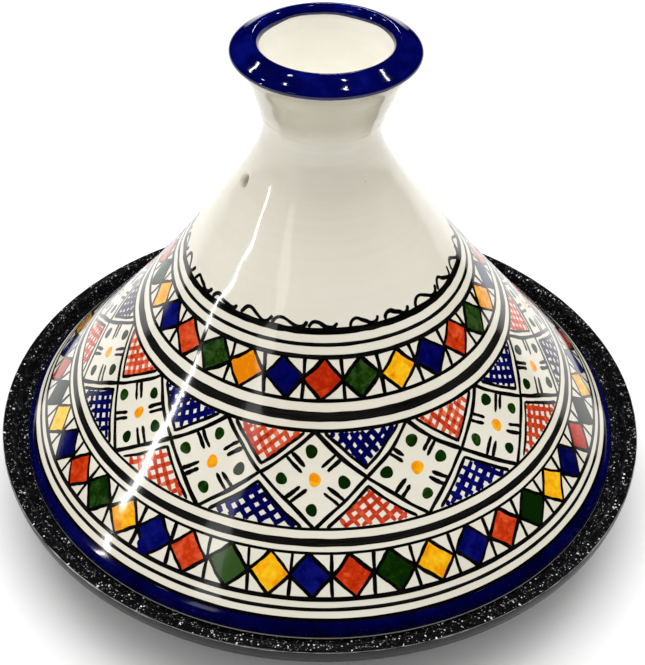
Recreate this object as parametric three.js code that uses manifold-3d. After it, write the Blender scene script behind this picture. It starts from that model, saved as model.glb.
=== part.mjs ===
// Tagine: a low cast-aluminium cooking pan with a rolled seat for the lid, a
// steel induction disc pressed into its underside, and a tall glazed ceramic
// lid made of two thrown pieces, a flared cone with a steam hole and a cup
// shaped handle luted on top of it.
//
// Millimetres, +Z up. The origin is the centre of the underside of the pan,
// where the pot stands. Every piece is a body of revolution about the Z axis.

import * as THREE from 'three';
import { mergeVertices } from 'three/addons/utils/BufferGeometryUtils.js';
import Module from 'manifold-3d';

// ---------------------------------------------------------------- dimensions
const RIM_RADIUS = 160;          // outside of the pan's raised lip
const RIM_EDGE_RADIUS = 158.5;   // lower edge of the lip's outside wall
const RIM_EDGE_HEIGHT = 34;      // height of that edge above the table
const LIP_HEIGHT = 8.4;          // lip wall, from its lower edge to its flat top
const LIP_TOP_WIDTH = 4.6;       // flat top of the lip
const LEDGE_HEIGHT = 1.1;        // ledge that the lid stands on, above the lower edge
const WELL_RADIUS = 139.2;       // mouth of the cooking well
const PAN_FLOOR = 7.2;           // inside floor of the well above the table
const FOOT_RADIUS = 120;         // outside of the flat foot
const DISC_RADIUS = 106;         // induction disc
const DISC_THICKNESS = 2.6;
const JOINT_GAP = 0.3;           // clearance kept between pieces that touch

const LID_FOOT_RADIUS = 148.0;   // widest part of the lid
const LID_WALL = 6.0;            // thickness of the cone's wall
const CREASE_HEIGHT = 176.6;     // top of the cone above the lip's lower edge
const CREASE_RADIUS = 27.0;
const CROWN_THICKNESS = 8.5;     // solid clay between the cone's hollow and the cup

const STEAM_HOLE_RADIUS = 3.0;
const STEAM_HOLE_FLARE = 4.5;    // softened mouth of the hole
const STEAM_HOLE_ANGLE = -71.5;  // degrees round from -Y towards +X
const STEAM_HOLE_HEIGHT = 148.3; // above the lip's lower edge

const CUP_RIM_RADIUS = 41.3;     // outside of the rolled rim
const CUP_TOP = 213.4;           // top of the rolled rim above the lip's lower edge
const CUP_FLOOR = 182.2;         // floor of the cup
// How far the hand-thrown lid sits off the axis along X: height above the lip's
// lower edge, then the distance. Straight below the first, constant above the last.
const DRIFT = [[85, 0], [110, -1.2], [128, -1.5], [144, -1.85], [160, -2.0], [176.6, -1.35], [190, -0.65], [205, -0.35]];

const ROUND = 64;                // facets round the large pieces
const ROUND_CUP = 40;

// -------------------------------------------------------------------- helpers
const up = RIM_EDGE_HEIGHT;
const pts = (list, dz = 0) => list.map(([r, z]) => new THREE.Vector2(r, z + dz));

// A body of revolution about +Z from a closed or axis-to-axis profile of
// (radius, height) points that runs from the underside outwards and up.
function turned(profile, segments) {
  const g = new THREE.LatheGeometry(profile, segments);
  g.rotateX(Math.PI / 2);
  return g;
}

// The profile moved inwards by t along its own normals.
function inset(profile, t) {
  return profile.map((p, i) => {
    const a = profile[Math.max(i - 1, 0)], b = profile[Math.min(i + 1, profile.length - 1)];
    const d = new THREE.Vector2().subVectors(b, a).normalize();
    return new THREE.Vector2(p.x - t * d.y, p.y + t * d.x);
  });
}

function solidOf(wasm, geometry) {
  const g = geometry.clone();
  g.deleteAttribute('normal');
  g.deleteAttribute('uv');
  const m = mergeVertices(g, 1e-4);
  return new wasm.Manifold(new wasm.Mesh({
    numProp: 3,
    vertProperties: new Float32Array(m.attributes.position.array),
    triVerts: new Uint32Array(m.index.array),
  }));
}

function geometryOf(manifold) {
  const m = manifold.getMesh();
  const g = new THREE.BufferGeometry();
  g.setAttribute('position', new THREE.BufferAttribute(new Float32Array(m.vertProperties), 3));
  g.setIndex(new THREE.BufferAttribute(new Uint32Array(m.triVerts), 1));
  g.computeVertexNormals();
  return g;
}

function piece(name, geometry, color, roughness, metalness) {
  const mesh = new THREE.Mesh(geometry, new THREE.MeshStandardMaterial({ color, roughness, metalness }));
  mesh.name = name;
  return mesh;
}

// A thrown lid is never quite true: it drifts sideways up the neck. The drift
// runs smoothly through the table's points.
function drift(z) {
  const n = DRIFT.length - 1;
  if (z <= DRIFT[0][0]) return DRIFT[0][1];
  if (z >= DRIFT[n][0]) return DRIFT[n][1];
  let i = 0;
  while (DRIFT[i + 1][0] < z) i += 1;
  const slope = (k) => (k === 0 || k === n ? 0 : (DRIFT[k + 1][1] - DRIFT[k - 1][1]) / (DRIFT[k + 1][0] - DRIFT[k - 1][0]));
  const h = DRIFT[i + 1][0] - DRIFT[i][0], t = (z - DRIFT[i][0]) / h;
  return (1 + 2 * t) * (1 - t) ** 2 * DRIFT[i][1] + t * (1 - t) ** 2 * h * slope(i)
    + t * t * (3 - 2 * t) * DRIFT[i + 1][1] + t * t * (t - 1) * h * slope(i + 1);
}

function handThrown(g) {
  const p = g.attributes.position;
  for (let i = 0; i < p.count; i++) p.setX(i, p.getX(i) + drift(p.getZ(i) - up));
  g.computeVertexNormals();
  return g;
}

const wasm = await Module();
wasm.setup();

// ------------------------------------------------------------------ base_pan
// Underside pocket, flat foot, curved wall, flared seat, raised lip, ledge and
// cooking well, all one casting.
const ledge = up + LEDGE_HEIGHT;
const lipTop = up + LIP_HEIGHT;
const panProfile = pts([
  [0, DISC_THICKNESS + JOINT_GAP],
  [DISC_RADIUS + JOINT_GAP, DISC_THICKNESS + JOINT_GAP],
  [DISC_RADIUS + JOINT_GAP, 0],
  [FOOT_RADIUS, 0],
  [123.6, 0.9],
  [127.6, 4.2],
  [131.6, 9.6],
  [136.6, 18],
  [140.6, 26],
  [143.6, 31],
  [147.4, 33.3],
  [RIM_EDGE_RADIUS - 0.9, up],
  [RIM_EDGE_RADIUS + 0.2, up + 0.5],
  [RIM_RADIUS, up + 5.2],
  [RIM_RADIUS, lipTop - 1.1],
  [RIM_RADIUS - 0.35, lipTop - 0.3],
  [RIM_RADIUS - 1.1, lipTop],
  [RIM_RADIUS - LIP_TOP_WIDTH, lipTop],
  [RIM_RADIUS - LIP_TOP_WIDTH - 0.8, lipTop - 0.7],
  [153.9, ledge + 2.4],
  [152.9, ledge + 0.6],
  [151.4, ledge],
  [WELL_RADIUS + 1.5, ledge],
  [WELL_RADIUS, ledge - 1.4],
  [136.4, 27.6],
  [132.2, 19.4],
  [127.2, 11.8],
  [121.5, 8.3],
  [113, PAN_FLOOR],
  [0, PAN_FLOOR],
]);

// -------------------------------------------------------------- induction_disc
const discProfile = pts([
  [0, 0],
  [DISC_RADIUS - 0.5, 0],
  [DISC_RADIUS, 0.5],
  [DISC_RADIUS, DISC_THICKNESS],
  [0, DISC_THICKNESS],
]);

// -------------------------------------------------------------------- lid_cone
// Outside of the cone from its foot to the crease under the cup.
const coneOutside = pts([
  [LID_FOOT_RADIUS, 2.6],
  [147.7, 5.0],
  [142.7, 10.9],
  [138.2, 15.7],
  [131.2, 24.0],
  [124.3, 32.0],
  [118.3, 38.8],
  [104.3, 55.2],
  [89.6, 72.8],
  [82.5, 82.0],
  [69.9, 98.7],
  [63.3, 107.6],
  [56.0, 118.4],
  [48.4, 129.1],
  [41.2, 139.9],
  [34.2, 150.6],
  [29.9, 158.7],
  [27.3, 165.7],
  [26.4, 171.2],
  [CREASE_RADIUS, CREASE_HEIGHT],
], up);
const hollowTop = up + CREASE_HEIGHT - CROWN_THICKNESS;
// Underside of the shell, from the dome at the top of the hollow to the foot.
const coneInside = inset(coneOutside.slice(2, 17), LID_WALL).reverse();
const dome = [
  [0, hollowTop],
  [7, hollowTop - 1.2],
  [13.5, hollowTop - 4.6],
  [19, hollowTop - 10],
].map(([r, z]) => new THREE.Vector2(r, z));
const foot = pts([
  [141.9, LEDGE_HEIGHT + JOINT_GAP + 2.4],
  [142.4, LEDGE_HEIGHT + JOINT_GAP],
  [LID_FOOT_RADIUS - 1.0, LEDGE_HEIGHT + JOINT_GAP],
], up);
const innerWall = coneInside.filter((p) => p.y < hollowTop - 12 && p.y > up + 5);
const coneProfile = [
  ...dome, ...innerWall, ...foot, ...coneOutside, new THREE.Vector2(0, up + CREASE_HEIGHT),
];
const coneBody = turned(coneProfile, ROUND);

// The steam hole is pierced square to the wall and its mouth is softened.
const holeRadius = 35.7;
const holeProfile = pts([
  [0, -14], [STEAM_HOLE_RADIUS, -14], [STEAM_HOLE_RADIUS, -2.0], [STEAM_HOLE_RADIUS + 0.4, -1.0],
  [STEAM_HOLE_FLARE, 0.15], [STEAM_HOLE_FLARE + 1.6, 3], [0, 3],
]);
const bore = turned(holeProfile, 20);
const slope = Math.atan2(0.64, 1);                 // how far the wall leans back there
const turn = THREE.MathUtils.degToRad(STEAM_HOLE_ANGLE);
bore.rotateX(Math.PI / 2 - slope);                 // the outward end now faces -Y and up
bore.rotateZ(turn);
bore.translate(holeRadius * Math.sin(turn), -holeRadius * Math.cos(turn), up + STEAM_HOLE_HEIGHT);
const coneGeometry = handThrown(geometryOf(solidOf(wasm, coneBody).subtract(solidOf(wasm, bore))));

// --------------------------------------------------------------------- lid_cup
const cupProfile = pts([
  [0, CREASE_HEIGHT + JOINT_GAP],
  [26.4, CREASE_HEIGHT + JOINT_GAP],
  [27.1, CREASE_HEIGHT + 0.9],
  [28.0, 180.4],
  [29.8, 186.0],
  [31.9, 191.6],
  [34.0, 196.8],
  [36.1, 201.2],
  [37.3, 204.9],
  [39.0, 205.55],
  [40.5, 206.3],
  [CUP_RIM_RADIUS, 207.4],
  [41.15, 208.3],
  [40.2, 209.35],
  [38.2, 210.4],
  [35.5, 211.9],
  [33.0, 213.1],
  [31.2, CUP_TOP],
  [29.8, 212.6],
  [28.8, 211.0],
  [28.3, 209.0],
  [27.6, 204.5],
  [26.3, 198.5],
  [24.6, 192.0],
  [22.9, 187.2],
  [20.6, 184.2],
  [17, 182.7],
  [12, CUP_FLOOR],
  [0, CUP_FLOOR],
], up);
const cupGeometry = handThrown(turned(cupProfile, ROUND_CUP));

// -------------------------------------------------------------------- assembly
const tagine = new THREE.Group();

const base = new THREE.Group();
base.add(piece('base_pan', turned(panProfile, ROUND), 0x1d1e20, 0.5, 0.1));
base.add(piece('induction_disc', turned(discProfile, ROUND), 0xa9abad, 0.35, 1.0));
tagine.add(base);

const lid = new THREE.Group();
lid.add(piece('lid_cone', coneGeometry, 0xe9e4d6, 0.15, 0.0));
lid.add(piece('lid_cup', cupGeometry, 0x11126e, 0.12, 0.0));
tagine.add(lid);

export default tagine;
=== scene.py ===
import bpy
import bmesh
import math
import numpy as np
from mathutils import Matrix, Vector


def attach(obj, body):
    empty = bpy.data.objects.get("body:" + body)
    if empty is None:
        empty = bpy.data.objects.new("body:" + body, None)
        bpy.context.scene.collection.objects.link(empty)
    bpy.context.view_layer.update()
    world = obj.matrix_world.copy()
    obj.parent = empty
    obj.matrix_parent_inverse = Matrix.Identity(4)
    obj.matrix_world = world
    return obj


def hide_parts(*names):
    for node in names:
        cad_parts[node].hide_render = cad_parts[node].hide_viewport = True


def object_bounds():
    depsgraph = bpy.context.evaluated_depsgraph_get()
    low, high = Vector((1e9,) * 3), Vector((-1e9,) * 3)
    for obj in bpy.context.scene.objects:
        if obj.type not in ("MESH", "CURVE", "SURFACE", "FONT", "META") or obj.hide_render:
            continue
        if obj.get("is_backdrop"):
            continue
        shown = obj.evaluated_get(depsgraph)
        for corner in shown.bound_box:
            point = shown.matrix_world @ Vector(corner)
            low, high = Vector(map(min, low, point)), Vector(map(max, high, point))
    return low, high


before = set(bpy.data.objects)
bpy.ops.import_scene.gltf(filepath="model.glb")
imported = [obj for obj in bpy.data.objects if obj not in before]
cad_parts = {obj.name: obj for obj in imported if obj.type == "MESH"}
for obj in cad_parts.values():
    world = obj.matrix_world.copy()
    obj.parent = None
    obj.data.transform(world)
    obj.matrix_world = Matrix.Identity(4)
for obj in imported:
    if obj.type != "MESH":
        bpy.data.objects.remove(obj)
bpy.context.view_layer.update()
scene = bpy.context.scene

# ------------------------------------------------------------------ dimensions
# Millimetres above the table unless a comment says otherwise; the meshes are
# written in metres.
UP = 34.0                 # lower edge of the pan's lip
CREASE = 176.6            # top of the cone above that edge
GAP = 0.3
DRIFT = np.array([(85, 0), (110, -1.2), (128, -1.5), (144, -1.85), (160, -2.0), (176.6, -1.35), (190, -0.65), (205, -0.35)])


def smooth(t):
    t = np.clip(t, 0, 1)
    return t * t * (3 - 2 * t)


def drift(z):
    """Sideways drift of the thrown lid at height z above the lip's lower edge."""
    z = np.asarray(z, float)
    x, y = DRIFT[:, 0], DRIFT[:, 1]
    m = np.r_[0, (y[2:] - y[:-2]) / (x[2:] - x[:-2]), 0]
    q = np.clip(z, x[0], x[-1])
    i = np.clip(np.searchsorted(x, q, side="left") - 1, 0, len(x) - 2)
    h = x[i + 1] - x[i]
    t = (q - x[i]) / h
    return ((1 + 2 * t) * (1 - t) ** 2 * y[i] + t * (1 - t) ** 2 * h * m[i]
            + t * t * (3 - 2 * t) * y[i + 1] + t * t * (t - 1) * h * m[i + 1])


def spline(points, step):
    """Natural cubic through the points, resampled at about step."""
    P = np.array(points, float)
    t = np.r_[0, np.cumsum(np.hypot(*np.diff(P, axis=0).T))]
    n = len(t)
    h = np.diff(t)
    A = np.zeros((n, n))
    B = np.zeros((n, 2))
    A[0, 0] = A[-1, -1] = 1
    for i in range(1, n - 1):
        A[i, i - 1], A[i, i], A[i, i + 1] = h[i - 1], 2 * (h[i - 1] + h[i]), h[i]
        B[i] = 6 * ((P[i + 1] - P[i]) / h[i] - (P[i] - P[i - 1]) / h[i - 1])
    M = np.linalg.solve(A, B)
    q = np.linspace(0, t[-1], max(int(t[-1] / step), 4) + 1)
    i = np.clip(np.searchsorted(t, q, side="right") - 1, 0, n - 2)
    hi = h[i][:, None]
    a, b = (t[i + 1] - q)[:, None], (q - t[i])[:, None]
    return (M[i] * a**3 + M[i + 1] * b**3) / (6 * hi) + (P[i] / hi - M[i] * hi / 6) * a + (P[i + 1] / hi - M[i + 1] * hi / 6) * b


def rounded(points, cuts, n=5):
    """A polyline with each corner replaced by a short curve. cuts is how far
    back along both edges each curve starts."""
    P = [np.array(p, float) for p in points]
    out = [P[0]]
    for i in range(1, len(P) - 1):
        a, b, c = P[i - 1], P[i], P[i + 1]
        la, lc = np.linalg.norm(a - b), np.linalg.norm(c - b)
        d = min(cuts[i] if isinstance(cuts, (list, tuple)) else cuts, 0.48 * la, 0.48 * lc)
        if d < 0.02:
            out.append(b)
            continue
        p, q = b + (a - b) / la * d, b + (c - b) / lc * d
        for k in range(n + 1):
            u = k / n
            out.append((1 - u) ** 2 * p + 2 * u * (1 - u) * b + u * u * q)
    out.append(P[-1])
    return np.array(out)


def refine(profile, longest):
    """Splits the profile's edges so that none is longer than longest."""
    out = [profile[0]]
    for a, b in zip(profile[:-1], profile[1:]):
        k = max(1, int(math.ceil(np.linalg.norm(b - a) / longest)))
        out += [a + (b - a) * j / k for j in range(1, k + 1)]
    return np.array(out)


# --------------------------------------------------- the lid's outer surface
CONE = [(148.0, 2.6), (147.6, 5.0), (142.7, 10.9), (138.2, 15.7), (131.2, 24.0), (124.3, 32.0), (118.3, 38.8),
        (104.3, 55.2), (89.6, 72.8), (82.5, 82.0), (69.9, 98.7), (63.3, 107.6), (56.0, 118.4), (48.4, 129.1),
        (41.2, 139.9), (34.2, 150.6), (29.9, 158.7), (27.3, 165.7), (26.4, 171.2), (27.0, 176.6)]
_c = spline(CONE, 0.5)
S = np.r_[0, np.cumsum(np.hypot(*np.diff(_c, axis=0).T))]
PR, PZ = _c[:, 0], _c[:, 1]
_t = np.gradient(_c, S, axis=0)
_t /= np.linalg.norm(_t, axis=1)[:, None]
NR, NZ = _t[:, 1], -_t[:, 0]
S_TOP = S[-1]


def s_at(z):
    return float(np.interp(z, PZ, S))


_w = np.random.default_rng(11)
WAVES = []
for _ in range(42):
    k = _w.normal(size=3)
    k /= np.linalg.norm(k)
    lam = _w.uniform(24, 70)
    WAVES.append((k * 2 * math.pi / lam, _w.uniform(0, 6.283), lam / 70))
SHORT = []
for _ in range(16):
    k = _w.normal(size=3)
    k /= np.linalg.norm(k)
    lam = _w.uniform(13, 24)
    SHORT.append((k * 2 * math.pi / lam, _w.uniform(0, 6.283), lam / 70))
QK = np.array([w[0] for w in SHORT])
QP = np.array([w[1] for w in SHORT])
QA = np.array([w[2] for w in SHORT])
WK = np.array([w[0] for w in WAVES])
WP = np.array([w[1] for w in WAVES])
WA = np.array([w[2] for w in WAVES])
WOBBLE = 0.036


def wobble(P):
    """Low undulation of the hand-thrown wall, in mm, at points P."""
    return (np.sin(P @ WK.T + WP) * WA).sum(-1) * WOBBLE


def surf(th, s, h):
    """Point on the lid at angle th (radians, from -Y towards +X), arc length s
    above the foot and height h above the glaze."""
    th, s, h = np.broadcast_arrays(*(np.asarray(v, float) for v in (th, s, h)))
    r, z = np.interp(s, S, PR), np.interp(s, S, PZ)
    nr, nz = np.interp(s, S, NR), np.interp(s, S, NZ)
    st, ct = np.sin(th), np.cos(th)
    base = np.stack([r * st, -r * ct, z], -1)
    plain = smooth((z - 62) / 34)
    ripple = (np.sin(base @ QK.T + QP) * QA).sum(-1) * 0.085
    h = h + (wobble(base) * (1 + 1.0 * plain) + ripple * plain) * smooth((s - 1.5) / 14) * smooth((S_TOP - s) / 14)
    rr, zz = r + h * nr, z + h * nz
    return np.stack([rr * st + drift(zz), -rr * ct, zz + UP], -1)


def surf_normal(th, s):
    e = 0.4
    r = np.maximum(np.interp(s, S, PR), 5)
    a = surf(th + e / r, s, 0) - surf(th - e / r, s, 0)
    b = surf(th, np.minimum(s + e, S_TOP), 0) - surf(th, np.maximum(s - e, 0), 0)
    n = np.cross(a, b)
    return n / np.linalg.norm(n, axis=-1, keepdims=True)


# ------------------------------------------------------------- mesh building
def new_object(name, V, F, smooth_faces=True):
    me = bpy.data.meshes.new(name)
    me.from_pydata((np.asarray(V) / 1000.0).tolist(), [], [list(map(int, f)) for f in F])
    me.update()
    bm = bmesh.new()
    bm.from_mesh(me)
    bmesh.ops.recalc_face_normals(bm, faces=bm.faces)
    bm.to_mesh(me)
    bm.free()
    if smooth_faces:
        me.polygons.foreach_set("use_smooth", [True] * len(me.polygons))
    o = bpy.data.objects.new(name, me)
    scene.collection.objects.link(o)
    return o


def lathe_mesh(profile, n, place=None, closed=False):
    """Vertices and faces of a body of revolution. profile is (r, z); points on
    the axis become one vertex. place moves an array of points."""
    V, F, rings = [], [], []
    th = np.arange(n) * 2 * math.pi / n
    for r, z in profile:
        if r < 1e-6:
            rings.append([len(V)])
            V.append((0, 0, z))
        else:
            rings.append(list(range(len(V), len(V) + n)))
            V += list(zip(r * np.sin(th), -r * np.cos(th), np.full(n, z)))
    pairs = list(zip(rings[:-1], rings[1:])) + ([(rings[-1], rings[0])] if closed else [])
    for a, b in pairs:
        for i in range(n):
            j = (i + 1) % n
            if len(a) == 1 and len(b) == 1:
                continue
            if len(a) == 1:
                F.append((a[0], b[i], b[j]))
            elif len(b) == 1:
                F.append((a[i], b[0], a[j]))
            else:
                F.append((a[i], b[i], b[j], a[j]))
    V = np.array(V, float)
    return (place(V) if place else V), F


def lean(V):
    V = V.copy()
    V[:, 0] += drift(V[:, 2] - UP)
    return V


def sharpen(o, degrees):
    """Marks edges sharper than this so that smooth shading stops at them."""
    me = o.data
    bm = bmesh.new()
    bm.from_mesh(me)
    lim = math.radians(degrees)
    for e in bm.edges:
        if len(e.link_faces) == 2 and e.calc_face_angle(0) > lim:
            e.smooth = False
    bm.to_mesh(me)
    bm.free()
    return o


class Film:
    """Paint on the lid: many thin closed shells in one object."""

    def __init__(self, name):
        self.name, self.P, self.F, self.top, self.tint, self.n = name, [], [], [], [], 0

    def add(self, P, faces, top, tint=0.5):
        self.P.append(np.asarray(P, float))
        for f, t in zip(faces, top):
            self.F.append([i + self.n for i in f])
            self.top.append(t)
        self.tint.append(np.full(len(P), tint))
        self.n += len(P)

    def ribbon(self, path, widths, h, closed=False, tint=0.5, across=5):
        """A brush stroke along path, (th, s) points, with a width in mm at each."""
        path = np.asarray(path, float)
        n = len(path)
        r = np.interp(path[:, 1], S, PR)
        if closed:
            d = np.roll(path, -1, 0) - np.roll(path, 1, 0)
            d[:, 0] = (d[:, 0] + math.pi) % (2 * math.pi) - math.pi
        else:
            d = np.gradient(path, axis=0)
        d = d * np.c_[r, np.ones(n)]
        d /= np.maximum(np.linalg.norm(d, axis=1), 1e-9)[:, None]
        side = np.c_[-d[:, 1], d[:, 0]]
        u = np.linspace(-1, 1, across)
        hh = h * (0.5 + 0.5 * np.sqrt(np.maximum(1 - u**4, 0)))
        w = np.broadcast_to(widths, (n,)) / 2
        rows = []
        for k in range(across):
            off = side * (u[k] * w)[:, None]
            rows.append(np.c_[path[:, 0] + off[:, 0] / r, path[:, 1] + off[:, 1], np.full(n, hh[k])])
        for k in (across - 1, 0):
            b = rows[k].copy()
            b[:, 2] = -0.06
            rows.append(b)
        m = len(rows)
        P = np.stack(rows, 1).reshape(-1, 3)
        F, T = [], []
        for i in range(n if closed else n - 1):
            j = (i + 1) % n
            for k in range(m):
                q = (k + 1) % m
                F.append((i * m + k, j * m + k, j * m + q, i * m + q))
                T.append(k < across - 1)
        if not closed:
            F += [tuple(range(m - 1, -1, -1)), tuple((n - 1) * m + k for k in range(m))]
            T += [False, False]
        self.add(P, F, T, tint)

    def stroke(self, path, width, h, rng, tint=0.5, step=1.2, wob=0.10, taper=0.45, over=0.0):
        """A hand stroke through a few (th, s) points: resampled, shaken a
        little, and thinner at its ends."""
        path = np.asarray(path, float)
        r0 = float(np.interp(path[:, 1].mean(), S, PR))
        Q = path * [r0, 1]
        if over:
            a, b = Q[0] - Q[1], Q[-1] - Q[-2]
            Q[0] += a / max(np.linalg.norm(a), 1e-6) * over
            Q[-1] += b / max(np.linalg.norm(b), 1e-6) * over
        if len(Q) > 2:
            Q = spline(Q, step)
        else:
            L = np.linalg.norm(Q[1] - Q[0])
            k = max(int(L / step), 3)
            Q = Q[0] + (Q[1] - Q[0]) * np.linspace(0, 1, k + 1)[:, None]
        n = len(Q)
        u = np.linspace(0, 1, n)
        side = np.gradient(Q, axis=0)
        side = np.c_[-side[:, 1], side[:, 0]] / np.maximum(np.linalg.norm(side, axis=1), 1e-9)[:, None]
        f = rng.uniform(0.6, 1.6, 2)
        ph = rng.uniform(0, 6.28, 2)
        Q = Q + side * (wob * (np.sin(6.28 * f[0] * u + ph[0]) + 0.5 * np.sin(12.6 * f[1] * u + ph[1])))[:, None]
        w = width * (1 + 0.13 * np.sin(6.28 * (f[1] * u) + ph[1]) + 0.05 * np.sin(22 * u + ph[0]))
        L = np.r_[0, np.cumsum(np.linalg.norm(np.diff(Q, axis=0), axis=1))]
        e = np.minimum(L, L[-1] - L) / (width * 0.6)
        w = w * (taper + (1 - taper) * np.sqrt(np.clip(1 - (1 - np.clip(e, 0, 1)) ** 2, 0, 1)))
        self.ribbon(Q / [r0, 1], w, h, tint=tint)

    def patch(self, edge_points, h, nu=8, nv=8, tint=0.5):
        """A filled four-sided patch from a function of (u, v) arrays to (th, s)."""
        u, v = np.meshgrid(np.linspace(0, 1, nu + 1), np.linspace(0, 1, nv + 1), indexing="ij")
        G = edge_points(u.ravel(), v.ravel())
        idx = np.arange((nu + 1) * (nv + 1)).reshape(nu + 1, nv + 1)
        P = [np.c_[G, np.full(len(G), h)]]
        border = list(idx[:-1, 0]) + list(idx[-1, :-1]) + list(idx[:0:-1, -1]) + list(idx[0, :0:-1])
        low = np.c_[G[border], np.full(len(border), -0.06)]
        P.append(low)
        base = len(G)
        F = [(idx[i, j], idx[i + 1, j], idx[i + 1, j + 1], idx[i, j + 1]) for i in range(nu) for j in range(nv)]
        T = [True] * len(F)
        m = len(border)
        for k in range(m):
            q = (k + 1) % m
            F.append((border[q], border[k], base + k, base + q))
            T.append(False)
        F.append(tuple(base + k for k in range(m))[::-1])
        T.append(False)
        self.add(np.concatenate(P), F, T, tint)

    def quad(self, corners, h, rng, wob=0.15, bulge=0.0, n=8, tint=0.5):
        """A filled quadrilateral with slightly uneven edges; corners (th, s) in order."""
        C = np.array(corners, float)
        r0 = float(np.interp(C[:, 1].mean(), S, PR))
        C = C * [r0, 1]
        mid = C.mean(0)
        amp = rng.normal(0, wob, (4, 2))

        def edge(a, b, k, t):
            p = C[a] * (1 - t)[:, None] + C[b] * t[:, None]
            d = C[b] - C[a]
            nrm = np.array([d[1], -d[0]]) / max(np.linalg.norm(d), 1e-9)
            if np.dot(nrm, (C[a] + C[b]) / 2 - mid) < 0:
                nrm = -nrm
            o = (bulge + amp[k, 0]) * np.sin(math.pi * t) + amp[k, 1] * np.sin(2 * math.pi * t)
            return p + nrm * o[:, None]

        def f(u, v):
            e0, e2 = edge(0, 1, 0, u), edge(3, 2, 2, u)
            e3, e1 = edge(0, 3, 3, v), edge(1, 2, 1, v)
            uu, vv = u[:, None], v[:, None]
            c = (1 - uu) * (1 - vv) * C[0] + uu * (1 - vv) * C[1] + uu * vv * C[2] + (1 - uu) * vv * C[3]
            return ((1 - vv) * e0 + vv * e2 + (1 - uu) * e3 + uu * e1 - c) / [r0, 1]

        self.patch(f, h, n, n, tint)

    def blob(self, th, s, rx, ry, h, rng, tint=0.5, n=20):
        """A daub of paint, round or oval, pressed on with the brush's tip."""
        r0 = float(np.interp(s, S, PR))
        a = np.arange(n) * 2 * math.pi / n
        k = 1 + 0.06 * np.sin(2 * a + rng.uniform(0, 6)) + 0.05 * np.sin(3 * a + rng.uniform(0, 6))
        rot = rng.normal(0, 0.12)
        P, F, T = [(th, s, h)], [], []
        for q, hh in ((0.5, h), (0.85, h), (1.0, h * 0.5), (1.0, -0.06)):
            x, y = rx * q * k * np.cos(a), ry * q * k * np.sin(a)
            x, y = x * math.cos(rot) - y * math.sin(rot), x * math.sin(rot) + y * math.cos(rot)
            P += list(zip(th + x / r0, s + y, np.full(n, hh)))
        for i in range(n):
            j = (i + 1) % n
            F.append((0, 1 + i, 1 + j))
            T.append(True)
            for k2 in range(3):
                F.append((1 + k2 * n + i, 1 + (k2 + 1) * n + i, 1 + (k2 + 1) * n + j, 1 + k2 * n + j))
                T.append(k2 < 2)
        F.append(tuple(1 + 3 * n + i for i in range(n))[::-1])
        T.append(False)
        self.add(P, F, T, tint)

    def make(self, material, slot="white_glaze"):
        P = np.concatenate(self.P)
        V = surf(P[:, 0], P[:, 1], P[:, 2])
        N = surf_normal(P[:, 0], P[:, 1])
        o = new_object(self.name, V, self.F, False)
        me = o.data
        top = np.array(self.top, bool)
        me.polygons.foreach_set("use_smooth", top)
        lv = np.zeros(len(me.loops), np.int32)
        me.loops.foreach_get("vertex_index", lv)
        tot = np.zeros(len(me.polygons), np.int32)
        me.polygons.foreach_get("loop_total", tot)
        ln = N[lv] * np.repeat(top, tot)[:, None]
        me.normals_split_custom_set(ln.tolist())
        a = me.attributes.new("tint", "FLOAT", "POINT")
        a.data.foreach_set("value", np.concatenate(self.tint).astype(np.float32))
        me.materials.append(material)
        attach(o, "lid")
        return o


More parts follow.
